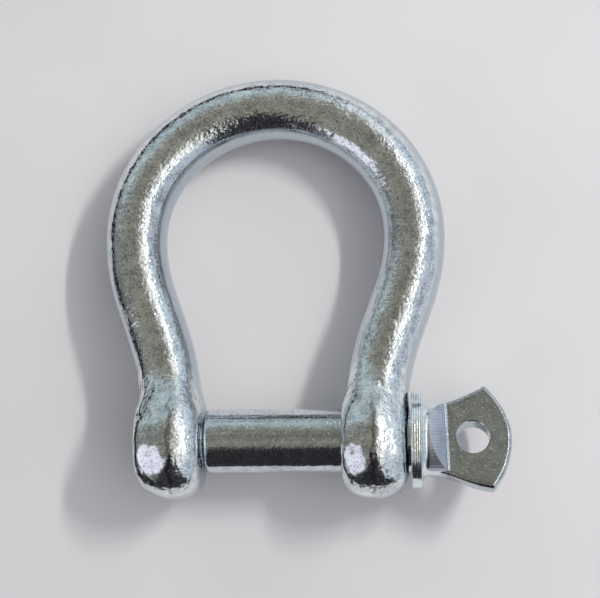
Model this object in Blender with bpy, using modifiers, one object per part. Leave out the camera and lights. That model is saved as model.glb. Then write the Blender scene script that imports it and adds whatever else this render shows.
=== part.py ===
"""Bow shackle with a screw pin, lying flat: a forged bow, and the pin that closes its jaw.

Metres, +Z up. X runs along the pin, with the pin's head at +X. Y runs from the pin to the crown of the bow.
The shackle rests at z = 0 on its two ears and its crown, and the origin is under the middle of its box.
"""
import math

import bmesh
import bpy
from mathutils import Matrix, Vector
from mathutils.geometry import interpolate_bezier

MM = 0.001

# Pin
PIN_DIAMETER = 12.0 * MM
PIN_HOLE_CLEARANCE = 0.5 * MM  # around the shank, in the right ear
SHOULDER_STEP = 1.0 * MM  # from the shank down to the thread's crests
SHOULDER_ROUNDING = 1.2 * MM
THREAD_PITCH = 1.5 * MM
THREAD_DEPTH = 0.8 * MM
THREAD_CLEARANCE = 0.3 * MM  # between the crests of the two threads
TIP_CHAMFER = 1.0 * MM
TIP_INSET = 0.8 * MM  # from the outside of the left ear to the pin's tip
SEAT_GAP = 0.3 * MM  # between the pin's shoulder and the left ear
COLLAR_GAP = 0.65 * MM  # between the collar and the right ear's spot face
COLLAR_RIM = 3.1 * MM  # how far the collar stands out of the shank
COLLAR_THICKNESS = 2.0 * MM
COLLAR_EDGE = 0.25 * MM
NECK_STEP = 0.8 * MM  # how far the neck stands out of the shank
NECK_FILLET = 1.1 * MM
NECK_LENGTH = 1.3 * MM  # the round stretch between the collar and the ramps
RAMP_LENGTH = 3.2 * MM  # the slope from the neck's top down to the wing's flat
WING_WIDTH = 20.0 * MM
WING_CORNER_INSET = 3.8 * MM  # from the wing's end back to its corners
WING_THICKNESS = 3.8 * MM
WING_EDGE = 0.35 * MM
WING_TURN = math.radians(18.0)  # out of the bow's plane, where the pin came to rest
WING_SKEW = math.radians(2.0)  # the fan leans a little to one side
EYE_DIAMETER = 6.3 * MM
EYE_INNER_WALL = 1.65 * MM  # from the foot of the ramps to the eye
EYE_OUTER_WALL = 4.05 * MM  # from the eye to the wing's end

# Bow
BAR_DIAMETER = 12.0 * MM
INSIDE_WIDTH = 41.4 * MM  # across the widest place inside the bow
INSIDE_LENGTH = 52.4 * MM  # from the pin to the inside of the crown
CROWN_RISE = 25.4 * MM  # from the bow's widest place up to the crown
JAW_WIDTH = 26.2 * MM  # between the flats of the ears
EAR_WALL = 4.5 * MM  # around the pin's hole
EAR_FORGED_THICKNESS = 14.05 * MM  # before the flats are cut
EAR_SLOPE = math.radians(30.0)  # of the straight shoulder from the ear down to the bar
EAR_BLEND = 2.0 * MM  # how far the shoulder's surface runs into the bar's
JAW_FLAT_DEPTH = 1.05 * MM  # off the inside of each ear
SPOT_FACE_DEPTH = 0.8 * MM  # off the outside of the right ear
SPOT_FACE_MARGIN = 0.3 * MM  # around the collar

# Shares and exponents of the forms
EAR_ROUNDNESS = 3.0  # exponent of the ear's section: 2 is an ellipse, more is squarer
FOOT_PULL = 0.55  # how long a limb keeps its direction out of the ear, as a share of its height
WIDEST_PULL = 0.36  # the same, down from the widest place
UPPER_CURL = 0.5  # how much of its flare the fan's upper side has left halfway to the corner
LOWER_CURL = 0.12  # the same, on its lower side
THREAD_SHARPNESS = 0.8  # more makes the thread's crests and roots flatter

# Mesh resolution
BAR_SIDES = 30
EAR_RINGS = 8
LIMB_RINGS = 20
CROWN_RINGS = 11
PIN_SIDES = 30
THREAD_SIDES = 20
THREAD_RINGS_PER_TURN = 5
ARC_STEPS = 5
FAN_STEPS = 8
CUT_MARGIN = 5.0 * MM  # how far a cutter reaches past what it cuts
WELD = 0.005 * MM  # points closer than this are one point
SHARP_ANGLE = math.radians(32.0)

# Sizes that follow from the ones above
PIN_RADIUS = PIN_DIAMETER / 2
THREAD_CREST = PIN_RADIUS - SHOULDER_STEP
THREAD_ROOT = THREAD_CREST - THREAD_DEPTH
COLLAR_RADIUS = PIN_RADIUS + COLLAR_RIM
NECK_RADIUS = PIN_RADIUS + NECK_STEP
HOLE_RADIUS = PIN_RADIUS + PIN_HOLE_CLEARANCE
EAR_RADIUS = HOLE_RADIUS + EAR_WALL
EAR_HALF = EAR_FORGED_THICKNESS / 2
BAR_RADIUS = BAR_DIAMETER / 2
CROWN_HEIGHT = PIN_RADIUS + INSIDE_LENGTH + BAR_RADIUS
WIDEST_HEIGHT = CROWN_HEIGHT - CROWN_RISE
LIMB_OFFSET = INSIDE_WIDTH / 2 + BAR_RADIUS
LEAN = math.asin((EAR_RADIUS - BAR_RADIUS) / CROWN_HEIGHT)  # brings the crown down on the floor
ROUND_PULL = 4 / 3 * math.tan(math.pi / 8)  # handle of a quarter circle, as a share of its radius

# Places along the pin, from the middle of the jaw
JAW_FACE = JAW_WIDTH / 2
EAR_OFFSET = JAW_FACE - JAW_FLAT_DEPTH + EAR_HALF
EAR_OUTSIDE = EAR_OFFSET + EAR_HALF
SPOT_FACE = EAR_OUTSIDE - SPOT_FACE_DEPTH
SHOULDER = -JAW_FACE + SEAT_GAP
TIP = -EAR_OUTSIDE + TIP_INSET
COLLAR_FACE = SPOT_FACE + COLLAR_GAP
COLLAR_BACK = COLLAR_FACE + COLLAR_THICKNESS
RAMP_FOOT = COLLAR_BACK + NECK_LENGTH + RAMP_LENGTH
EYE_PLACE = RAMP_FOOT + EYE_INNER_WALL + EYE_DIAMETER / 2
WING_END = EYE_PLACE + EYE_DIAMETER / 2 + EYE_OUTER_WALL


def clear_scene():
    for obj in list(bpy.data.objects):
        bpy.data.objects.remove(obj, do_unlink=True)


def new_collection(name):
    collection = bpy.data.collections.new(name)
    bpy.context.scene.collection.children.link(collection)
    return collection


def new_material(name, colour, roughness):
    material = bpy.data.materials.new(name)
    material.use_nodes = True
    shader = material.node_tree.nodes["Principled BSDF"]
    shader.inputs["Base Color"].default_value = (*colour, 1.0)
    shader.inputs["Metallic"].default_value = 1.0
    shader.inputs["Roughness"].default_value = roughness
    return material


def new_object(name, data, collection):
    obj = bpy.data.objects.new(name, data)
    collection.objects.link(obj)
    return obj


def mesh_from(bm, name):
    bmesh.ops.recalc_face_normals(bm, faces=bm.faces)
    mesh = bpy.data.meshes.new(name)
    bm.to_mesh(mesh)
    bm.free()
    return mesh


def evaluated_mesh(obj):
    """The object's mesh with its modifiers or its curve turned into faces, and its seams welded."""
    depsgraph = bpy.context.evaluated_depsgraph_get()
    mesh = bpy.data.meshes.new_from_object(obj.evaluated_get(depsgraph))
    bm = bmesh.new()
    bm.from_mesh(mesh)
    bmesh.ops.remove_doubles(bm, verts=bm.verts, dist=WELD)
    bmesh.ops.recalc_face_normals(bm, faces=bm.faces)
    bm.to_mesh(mesh)
    bm.free()
    return mesh


def baked(obj, collection):
    """Replace an object by a plain mesh of what it evaluates to."""
    bpy.context.view_layer.update()
    name = obj.name
    mesh = evaluated_mesh(obj)
    placed = obj.matrix_world.copy()
    bpy.data.objects.remove(obj, do_unlink=True)
    mesh.name = name
    plain = new_object(name, mesh, collection)
    plain.matrix_world = placed
    return plain


def boolean(obj, operation, tool):
    modifier = obj.modifiers.new(operation.lower() + "_" + tool.name, "BOOLEAN")
    modifier.operation = operation
    modifier.object = tool
    modifier.solver = "EXACT"


def as_tool(obj):
    obj.display_type = "WIRE"
    obj.hide_render = True
    return obj


def soft_max(a, b, blend):
    """The larger of two sizes, rounded over where they are closer than the blend."""
    overlap = max(blend - abs(a - b), 0.0) / blend
    return max(a, b) + overlap * overlap * blend / 4


def ear_half_thickness(radius):
    """Half the forged ear's thickness at a distance from the pin's axis."""
    share = min(1.0, abs(radius) / EAR_RADIUS)
    return EAR_HALF * (1 - share ** EAR_ROUNDNESS) ** (1 / EAR_ROUNDNESS)


def ear_half_width(height):
    """Half the ear's width at a height over the pin's axis: a disc, then a straight shoulder."""
    turn = EAR_RADIUS * math.sin(EAR_SLOPE)
    if height < turn:
        return math.sqrt(max(0.0, EAR_RADIUS ** 2 - height ** 2))
    return EAR_RADIUS * math.cos(EAR_SLOPE) - (height - turn) * math.tan(EAR_SLOPE)


def bow_path():
    """Centreline of the right half, from the foot of the ear to the crown."""
    foot = Vector((EAR_OFFSET, 0.0, 0.0))
    widest = Vector((LIMB_OFFSET, WIDEST_HEIGHT, 0.0))
    crown = Vector((0.0, CROWN_HEIGHT, 0.0))
    up = Vector((0.0, 1.0, 0.0))
    out = Vector((1.0, 0.0, 0.0))
    foot_pull = up * FOOT_PULL * WIDEST_HEIGHT
    widest_pull = up * WIDEST_PULL * WIDEST_HEIGHT
    below = [foot - up * EAR_RADIUS * math.cos(math.pi / 2 * i / EAR_RINGS) for i in range(1, EAR_RINGS)]
    limb = interpolate_bezier(foot, foot + foot_pull, widest - widest_pull, widest, LIMB_RINGS)
    rise = up * CROWN_RISE * ROUND_PULL
    reach = out * LIMB_OFFSET * ROUND_PULL
    over = interpolate_bezier(widest, widest + rise, crown + reach, crown, CROWN_RINGS)
    return below + limb + over[1:]


def section(place, along):
    """One ring of the bow around its centreline: round in the bar, squarer and wider in the ear."""
    height = place.y
    bar_share = min(1.0, max(0.0, height) / (2 * EAR_RADIUS))
    wide = ear_half_width(height)
    thick = ear_half_thickness(height)
    if height > 0:
        wide = soft_max(wide, BAR_RADIUS, EAR_BLEND)
        thick = soft_max(thick, BAR_RADIUS, min(EAR_BLEND / 2, abs(EAR_HALF - BAR_RADIUS)))
    power = 2 / (EAR_ROUNDNESS + (2 - EAR_ROUNDNESS) * bar_share)
    side = Vector((along.y, -along.x, 0.0))
    ring = []
    for i in range(BAR_SIDES):
        angle = 2 * math.pi * i / BAR_SIDES
        across = math.copysign(abs(math.cos(angle)) ** power, math.cos(angle))
        upward = math.copysign(abs(math.sin(angle)) ** power, math.sin(angle))
        ring.append(place + side * thick * across + Vector((0.0, 0.0, wide * upward)))
    return ring


def forged_blank(collection):
    """The bow before it is machined: half of it lofted from ear to crown, open there, and mirrored."""
    path = bow_path()
    bm = bmesh.new()
    toe = bm.verts.new(Vector((EAR_OFFSET, -EAR_RADIUS, 0.0)))
    rings = []
    for i, place in enumerate(path):
        ahead = path[min(i + 1, len(path) - 1)]
        behind = path[max(i - 1, 0)]
        along = (ahead - behind).normalized()
        if i == len(path) - 1:
            along = Vector((-1.0, 0.0, 0.0))
        rings.append([bm.verts.new(point) for point in section(place, along)])
    for i in range(BAR_SIDES):
        j = (i + 1) % BAR_SIDES
        bm.faces.new((toe, rings[0][i], rings[0][j]))
        for low, high in zip(rings, rings[1:]):
            bm.faces.new((low[i], high[i], high[j], low[j]))
    blank = new_object("bow", mesh_from(bm, "bow"), collection)
    mirror = blank.modifiers.new("other_half", "MIRROR")
    mirror.use_axis = (True, False, False)
    mirror.use_clip = True
    mirror.merge_threshold = WELD
    return baked(blank, collection)


def turned(name, profile, sides, collection):
    """A solid turned about X from (x, radius) points that run from its +X end to its -X end."""
    bm = bmesh.new()
    verts = [bm.verts.new((radius, 0.0, x)) for x, radius in profile]
    for a, b in zip(verts, verts[1:]):
        bm.edges.new((a, b))
    mesh = bpy.data.meshes.new(name)
    bm.to_mesh(mesh)
    bm.free()
    obj = new_object(name, mesh, collection)
    screw = obj.modifiers.new("turn", "SCREW")
    screw.axis = "Z"
    screw.steps = sides
    screw.render_steps = sides
    screw.use_merge_vertices = True
    screw.merge_threshold = WELD
    plain = baked(obj, collection)
    plain.data.transform(Matrix.Rotation(math.pi / 2, 4, "Y"))
    return plain


def arc(x, radius, size, start, stop):
    """Points of an arc about (x, radius), between two angles in degrees; 0 is +X and 90 is outwards."""
    points = []
    for i in range(ARC_STEPS + 1):
        angle = math.radians(start + (stop - start) * i / ARC_STEPS)
        points.append((x + size * math.cos(angle), radius + size * math.sin(angle)))
    return points


def thread_wave(x, angle):
    """Height of the thread at a place, from 0 in its root to 1 on its crest, as flat-topped waves."""
    wave = math.cos(2 * math.pi * x / THREAD_PITCH - angle)
    return min(1.0, max(0.0, 0.5 + THREAD_SHARPNESS * wave))


def thread_stations(start, stop):
    count = max(2, round(THREAD_RINGS_PER_TURN * abs(stop - start) / THREAD_PITCH))
    return [start + (stop - start) * i / count for i in range(count + 1)]


def wind_thread(obj, start, stop, crest, root):
    """Move the points of a turned stretch in or out so that they follow the thread's helix."""
    for vertex in obj.data.vertices:
        x, y, z = vertex.co
        radius = math.hypot(y, z)
        if start < x < stop and radius > crest / 2:
            share = thread_wave(x, math.atan2(z, y))
            wound = root + (crest - root) * share
            vertex.co = (x, y * wound / radius, z * wound / radius)


def tapped_hole(collection):
    """The thread in the left ear, cut wide enough for the pin's thread to run in it."""
    crest = THREAD_CREST + THREAD_CLEARANCE
    root = crest + THREAD_DEPTH
    inside = -JAW_FACE + CUT_MARGIN
    outside = -EAR_OUTSIDE - CUT_MARGIN
    profile = [(inside, 0.0), (inside, crest)]
    profile += [(x, crest) for x in thread_stations(-JAW_FACE, -EAR_OUTSIDE)]
    profile += [(outside, crest), (outside, 0.0)]
    cutter = turned("tapped_hole", profile, THREAD_SIDES, collection)
    wind_thread(cutter, -EAR_OUTSIDE + THREAD_PITCH / 2, -JAW_FACE - THREAD_PITCH / 2, crest, root)
    return as_tool(cutter)


def jaw_cutter(tools):
    """A block as wide as the jaw, past the rims of the ears."""
    reach = 2 * (EAR_RADIUS + CUT_MARGIN)
    bm = bmesh.new()
    bmesh.ops.create_cube(bm, size=1.0, matrix=Matrix.Diagonal((JAW_WIDTH, reach, reach, 1.0)))
    return as_tool(new_object("jaw", mesh_from(bm, "jaw"), tools))


def pin_hole(tools):
    """The plain hole in the right ear, with the spot face for the collar."""
    beyond = EAR_OUTSIDE + CUT_MARGIN
    seat = COLLAR_RADIUS + SPOT_FACE_MARGIN
    profile = [
        (beyond, 0.0), (beyond, seat), (SPOT_FACE, seat),
        (SPOT_FACE, HOLE_RADIUS), (0.0, HOLE_RADIUS), (0.0, 0.0),
    ]
    return as_tool(turned("pin_hole", profile, PIN_SIDES, tools))


def make_bow(parts, tools, finish):
    bow = forged_blank(parts)
    cutters = [jaw_cutter(tools), pin_hole(tools), tapped_hole(tools)]
    for cutter in cutters:
        boolean(bow, "DIFFERENCE", cutter)
    bow.data.materials.append(finish)
    return bow, cutters


def pin_profile():
    """Outside of the pin from the end of its neck to its tip, as (x, radius)."""
    edge = min(COLLAR_EDGE, COLLAR_THICKNESS / 2)
    rounding = min(SHOULDER_ROUNDING, PIN_RADIUS - THREAD_ROOT)
    points = [(EYE_PLACE, 0.0), (EYE_PLACE, NECK_RADIUS)]
    points += arc(COLLAR_BACK + NECK_FILLET, NECK_RADIUS + NECK_FILLET, NECK_FILLET, 270, 180)
    points += arc(COLLAR_BACK - edge, COLLAR_RADIUS - edge, edge, 0, 90)
    points += arc(COLLAR_FACE + edge, COLLAR_RADIUS - edge, edge, 90, 180)
    points += [(COLLAR_FACE, PIN_RADIUS)]
    points += arc(SHOULDER + rounding, PIN_RADIUS - rounding, rounding, 90, 180)
    points += [(SHOULDER, THREAD_ROOT)]
    points += [(x, THREAD_ROOT) for x in thread_stations(SHOULDER - THREAD_PITCH, TIP + TIP_CHAMFER)]
    points += [(TIP, THREAD_CREST - TIP_CHAMFER), (TIP, 0.0)]
    return points


def fan_knots():
    """Outline of the fan, against the clock from its lower root: (place, handle before, handle after)."""
    root_x = COLLAR_BACK + NECK_FILLET
    root_y = NECK_RADIUS - WING_EDGE
    corner_x = WING_END - WING_CORNER_INSET
    corner_y = WING_WIDTH / 2
    half_run = (corner_x - RAMP_FOOT) / 2
    flare = corner_y - root_y
    lean = Matrix.Rotation(WING_SKEW, 3, "Z")
    pivot = Vector((RAMP_FOOT, 0.0, 0.0))

    def leant(x, y):
        return pivot + lean @ (Vector((x, y, 0.0)) - pivot)

    # The outer edge is one circular arc through the corners and the end, in two equal Bezier stretches.
    arc_radius = (corner_y ** 2 + WING_CORNER_INSET ** 2) / (2 * WING_CORNER_INSET)
    half_angle = math.asin(corner_y / arc_radius)
    pull = 4 / 3 * math.tan(half_angle / 4) * arc_radius
    pull_x = pull * math.sin(half_angle)
    pull_y = pull * math.cos(half_angle)

    upper_root = Vector((root_x, root_y, 0.0))
    lower_root = Vector((root_x, -root_y, 0.0))
    straight = Vector((RAMP_FOOT - root_x, 0.0, 0.0))
    lower_side = leant(corner_x - half_run, -corner_y + LOWER_CURL * flare)
    upper_side = leant(corner_x - half_run, corner_y - UPPER_CURL * flare)
    return [
        (lower_root, lower_root, lower_root + straight),
        (leant(corner_x, -corner_y), lower_side, leant(corner_x + pull_x, -corner_y + pull_y)),
        (leant(WING_END, 0.0), leant(WING_END, -pull), leant(WING_END, pull)),
        (leant(corner_x, corner_y), leant(corner_x + pull_x, corner_y - pull_y), upper_side),
        (upper_root, upper_root + straight, upper_root),
    ]


def make_fan(tools):
    """The flattened fan, as a filled outline in XY with rounded edges."""
    curve = bpy.data.curves.new("fan", "CURVE")
    curve.dimensions = "2D"
    curve.fill_mode = "BOTH"
    curve.extrude = WING_THICKNESS / 2 - WING_EDGE
    curve.bevel_depth = WING_EDGE
    curve.bevel_resolution = 1
    curve.offset = -WING_EDGE
    curve.resolution_u = FAN_STEPS
    spline = curve.splines.new("BEZIER")
    spline.use_cyclic_u = True
    knots = fan_knots()
    spline.bezier_points.add(len(knots) - 1)
    for point, (place, before, after) in zip(spline.bezier_points, knots):
        point.handle_left_type = "FREE"
        point.handle_right_type = "FREE"
        point.co = place
        point.handle_left = before
        point.handle_right = after
    return as_tool(baked(new_object("fan", curve, tools), tools))


def ramp_envelope(tools):
    """What the dies leave of the neck: full height, then ramps down into the wing on both sides."""
    flat = WING_THICKNESS / 2
    tall = 2 * COLLAR_RADIUS
    start = TIP - CUT_MARGIN
    over = NECK_FILLET / 2
    slope = RAMP_LENGTH / (NECK_RADIUS - flat)
    ramp_top = RAMP_FOOT - slope * (NECK_RADIUS + over - flat)
    lower = [(start, -tall), (ramp_top, -tall), (ramp_top, -NECK_RADIUS - over)]
    upper = [(x, -z) for x, z in reversed(lower)]
    outline = lower + [(RAMP_FOOT + slope * flat, 0.0)] + upper
    bm = bmesh.new()
    sheet = bm.faces.new([bm.verts.new((x, -tall, z)) for x, z in outline])
    swept = bmesh.ops.extrude_face_region(bm, geom=[sheet])["geom"]
    moved = [item for item in swept if isinstance(item, bmesh.types.BMVert)]
    bmesh.ops.translate(bm, verts=moved, vec=(0.0, 2 * tall, 0.0))
    return as_tool(new_object("ramps", mesh_from(bm, "ramps"), tools))


def eye_cutter(tools):
    bm = bmesh.new()
    bmesh.ops.create_cone(
        bm, cap_ends=True, segments=PIN_SIDES, radius1=EYE_DIAMETER / 2, radius2=EYE_DIAMETER / 2,
        depth=WING_THICKNESS + 2 * CUT_MARGIN, matrix=Matrix.Translation((EYE_PLACE, 0.0, 0.0)),
    )
    return as_tool(new_object("eye", mesh_from(bm, "eye"), tools))


def make_pin(parts, tools, finish):
    pin = turned("pin", pin_profile(), PIN_SIDES, parts)
    wind_thread(pin, TIP + TIP_CHAMFER / 2, SHOULDER - THREAD_PITCH / 2, THREAD_CREST, THREAD_ROOT)
    ramps = ramp_envelope(tools)
    fan = make_fan(tools)
    eye = eye_cutter(tools)
    boolean(pin, "INTERSECT", ramps)
    boolean(pin, "UNION", fan)
    boolean(pin, "DIFFERENCE", eye)
    pin.data.materials.append(finish)
    return pin, [ramps, fan, eye]


def shade(obj):
    obj.data.shade_smooth()
    obj.data.set_sharp_from_angle(angle=SHARP_ANGLE)


def stand_on_floor(holder, pieces):
    """Bring the middle of the pieces' box over the origin, with its underside at z = 0."""
    bpy.context.view_layer.update()
    depsgraph = bpy.context.evaluated_depsgraph_get()
    points = []
    for piece in pieces:
        seen = piece.evaluated_get(depsgraph)
        points += [seen.matrix_world @ vertex.co for vertex in seen.data.vertices]
    low = Vector([min(point[i] for point in points) for i in range(3)])
    high = Vector([max(point[i] for point in points) for i in range(3)])
    holder.location = (-(low.x + high.x) / 2, -(low.y + high.y) / 2, -low.z)


def main():
    clear_scene()
    parts = new_collection("bow_shackle")
    tools = new_collection("cutters")
    forged = new_material("forged_zinc", (0.62, 0.65, 0.65), 0.28)
    rolled = new_material("rolled_zinc", (0.58, 0.60, 0.60), 0.24)
    pin_axis = new_object("pin_axis", None, parts)
    bow, bow_tools = make_bow(parts, tools, forged)
    pin, pin_tools = make_pin(parts, tools, rolled)
    for piece, its_tools in ((bow, bow_tools), (pin, pin_tools)):
        piece.parent = pin_axis
        shade(piece)
        for tool in its_tools:
            tool.parent = piece
    bow.rotation_euler.x = -LEAN
    pin.rotation_euler.x = -WING_TURN
    stand_on_floor(pin_axis, (bow, pin))


main()
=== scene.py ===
"""Looks of the bow shackle: a forged bow and a screw pin in bright zinc, lying on white paper."""
import math

import bmesh
import bpy
from mathutils import Matrix, Vector, noise
from mathutils.geometry import interpolate_bezier


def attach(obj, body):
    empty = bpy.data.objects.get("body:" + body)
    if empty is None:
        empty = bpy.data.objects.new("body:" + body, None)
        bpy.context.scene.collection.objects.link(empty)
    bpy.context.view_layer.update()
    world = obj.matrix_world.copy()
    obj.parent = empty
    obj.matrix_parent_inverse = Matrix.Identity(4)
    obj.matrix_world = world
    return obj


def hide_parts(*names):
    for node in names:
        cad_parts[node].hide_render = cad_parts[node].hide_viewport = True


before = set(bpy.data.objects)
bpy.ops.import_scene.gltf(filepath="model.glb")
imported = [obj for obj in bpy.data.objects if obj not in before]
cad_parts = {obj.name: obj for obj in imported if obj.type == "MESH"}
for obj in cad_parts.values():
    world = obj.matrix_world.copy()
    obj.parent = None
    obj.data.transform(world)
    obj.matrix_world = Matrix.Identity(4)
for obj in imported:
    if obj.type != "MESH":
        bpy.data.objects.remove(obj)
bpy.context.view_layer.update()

# Shapes are made in millimetres about the middle of the pin's axis between the ears:
# X along the pin towards its wing, Y towards the crown, Z up.
MM = 0.001
PIN_AXIS = Vector((-5.8745, -29.6104, 10.9978))  # that middle's place in the frame

# Sizes of the bow: the solids', but for a spot face that is 0.2 mm shallower
BAR_RADIUS = 6.0
EAR_RADIUS = 11.0
EAR_HALF = 7.025  # half the forged ear's thickness
EAR_ROUNDNESS = 3.0  # power of the ear's rounded section; 2 is a circle
EAR_SLOPE = math.radians(30.0)  # of the straight shoulders over the ear's disc
EAR_BLEND = 2.0
EAR_TO_BAR = 1.3  # ear radii over the pin's axis at which the section is a circle
EAR_OFFSET = 19.075
EAR_OUTSIDE = 26.1
LIMB_OFFSET = 26.7
CROWN_HEIGHT = 64.4
WIDEST_HEIGHT = 39.0
FOOT_PULL = 0.55
WIDEST_PULL = 0.36
ROUND_PULL = 4 / 3 * math.tan(math.pi / 8)  # handle of a Bezier curve that is a quarter circle
LEAN = math.asin((EAR_RADIUS - BAR_RADIUS) / CROWN_HEIGHT)  # the bow lies on its ears and its crown
JAW_FACE = 13.1
JAW_TOP = 13.0  # below this height the forging is kept out of the jaw
JAW_RIM = 0.35
HOLE_RADIUS = 6.5
HOLE_EDGE = 0.35
SEAT_RADIUS = 9.4
SPOT_FACE = 25.5
TAP_MOUTH = 0.6  # depth of the tapped hole's countersinks
TAP_LIP = 0.1
TAP_RUNOUT = 0.7
CUT_BEYOND = 5.0  # how far cutters reach past what they cut

# Sizes of the pin: the solids', but for softer edges, a smaller eye and a shorter upper corner
PIN_RADIUS = 6.0
THREAD_CREST = 5.0
THREAD_DEPTH = 0.8
THREAD_PITCH = 1.5
THREAD_CLEARANCE = 0.3
THREAD_UNDERCUT = 0.4
FLANK_STEEPNESS = 0.8
TIP = -25.3
TIP_CHAMFER = 1.0
SHOULDER = -12.8
SHOULDER_ROUNDING = 1.2
SHANK_MARGIN = 0.5
SHANK_STEP = 1.5
COLLAR_FACE = 25.95
COLLAR_BACK = 27.95
COLLAR_RADIUS = 9.1
COLLAR_EDGE = 0.3
NECK_RADIUS = 6.8
NECK_FILLET = 1.1
RAMP_FOOT = 32.45
RAMP_LENGTH = 3.2
DIE_RIDGE = 0.16  # height of the line that the dies leave at the ramps' feet
DIE_RIDGE_RUN = 0.45
WING_WIDTH = 20.0
WING_END = 44.42  # just short of the solid's end
WING_CORNER_INSET = 3.8
WING_THICKNESS = 3.8
WING_EDGE = 0.8
WING_ROOT_INSET = 0.35
WING_TURN = math.radians(18.0)
WING_SKEW = math.radians(2.0)
UPPER_CURL = 0.5
UPPER_INSET = 0.7  # how far the wing's upper corner lies behind its lower one
LOWER_CURL = 0.12
EYE_PLACE = 37.25
EYE_RADIUS = 3.1
EYE_EDGE = 0.14
EYE_CUT_BEYOND = 4.0

# Skin of the forging: noise scales per millimetre, depths in millimetres under the plain form
SKIN = 0.03  # least depth, so that the skin stays inside the solid
EAR_FADE = (20.0, 9.0)  # heights between which the skin turns from the bar's to the ear's
WAVE_SCALE = 0.16
WAVE_DEPTH = 0.04
DENT_SCALE = 0.55
DENT_SHIFT = Vector((7.0, 3.0, 1.0))
DENT_DEPTH = 0.02
EAR_DENT_DEPTH = 0.06
GRAIN_SCALE = 1.5
GRAIN_DEPTH = 0.008
EAR_GRAIN_DEPTH = 0.060
CHATTER_SCALE = 0.8
CHATTER_SHIFT = Vector((0.0, 11.0, 0.0))
CHATTER_DEPTH = 0.04

# The line where the dies met on each ear, and the ears' rims, which slope down from it to both sides
RIDGES = (-18.2, 19.1)
RIDGE_WANDER = 0.35
RIDGE_WANDER_SCALE = (0.45, 0.2)  # along Y and Z
GROOVE_FADE = (12.0, 8.0)
GROOVE_DEPTH = 0.02
GROOVE_CHATTER = 0.12
GROOVE_WIDTH = 0.35
DRAFT = math.radians(24.0)
DRAFT_FADE = (7.0, 3.5)
DRAFT_LIFT = 0.3
DRAFT_BLEND = 0.7
RIDGE_ROUNDING = 0.15
TOE_ROUNDING = 2.0
TOE_FADE = (-5.0, -9.5)

# Creases left by the trimmed flash on top of the ears, as (x, y) points seen from above
CREASES = (
    ((-24.6, 4.2), (-23.8, 5.6), (-22.7, 8.0), (-21.8, 10.1)),
    ((20.3, 10.0), (22.3, 7.8), (23.5, 6.9), (24.3, 3.0)),
)
CREASE_WIDTH = 0.34
CREASE_DEPTH = 0.26
CREASE_LOWEST = 3.0  # creases lie higher than this over the pin's axis
CREASE_END = 14.0  # and nearer to the toes than this
CREASE_WOBBLE = 0.45
CREASE_WOBBLE_SCALE = 1.1

# Mesh resolution
BAR_SIDES = 240
EAR_RINGS = 50
LIMB_RINGS = 88
CROWN_RINGS = 40
PIN_SIDES = 144
THREAD_RINGS_PER_TURN = 14
ARC_STEPS = 10
FAN_STEPS = 24
FAN_EDGE_STEPS = 8
FAN_MERGE_DISTANCE = 0.001
MERGE_DISTANCE = 0.002  # points closer than this become one, so that no face is a mere sliver
BOW_SHARP = 38.0  # degrees between faces from which an edge is shaded sharp
PIN_SHARP = 14.0


def new_object(name, data):
    obj = bpy.data.objects.new(name, data)
    bpy.context.scene.collection.objects.link(obj)
    return obj


def mesh_from(bm, name):
    bmesh.ops.recalc_face_normals(bm, faces=bm.faces)
    mesh = bpy.data.meshes.new(name)
    bm.to_mesh(mesh)
    bm.free()
    return mesh


def merge_points(piece, distance):
    bm = bmesh.new()
    bm.from_mesh(piece.data)
    bmesh.ops.remove_doubles(bm, verts=bm.verts, dist=distance)
    bmesh.ops.recalc_face_normals(bm, faces=bm.faces)
    bm.to_mesh(piece.data)
    bm.free()


def bake(obj):
    """The object with its modifiers or its curve made into its own mesh."""
    bpy.context.view_layer.update()
    mesh = bpy.data.meshes.new_from_object(obj.evaluated_get(bpy.context.evaluated_depsgraph_get()))
    name = obj.name
    bpy.data.objects.remove(obj, do_unlink=True)
    return new_object(name, mesh)


def combine(obj, operation, tool):
    """Cut, join or intersect two closed meshes, and drop the tool."""
    modifier = obj.modifiers.new(operation.lower(), "BOOLEAN")
    modifier.operation = operation
    modifier.object = tool
    modifier.solver = "MANIFOLD"
    done = bake(obj)
    bpy.data.objects.remove(tool, do_unlink=True)
    return done


def smoothstep(low, high, value):
    t = min(1.0, max(0.0, (value - low) / (high - low)))
    return t * t * (3 - 2 * t)


def soft_max(a, b, blend):
    overlap = max(blend - abs(a - b), 0.0) / blend
    return max(a, b) + overlap * overlap * blend / 4


# The bow

def ear_half_thickness(height):
    share = min(1.0, abs(height) / EAR_RADIUS)
    return EAR_HALF * (1 - share ** EAR_ROUNDNESS) ** (1 / EAR_ROUNDNESS)


def ear_half_width(height):
    """Half the ear's width at a height over the pin's axis: a disc, then a straight shoulder."""
    turn = EAR_RADIUS * math.sin(EAR_SLOPE)
    if height < turn:
        return math.sqrt(max(0.0, EAR_RADIUS ** 2 - height ** 2))
    return EAR_RADIUS * math.cos(EAR_SLOPE) - (height - turn) * math.tan(EAR_SLOPE)


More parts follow.
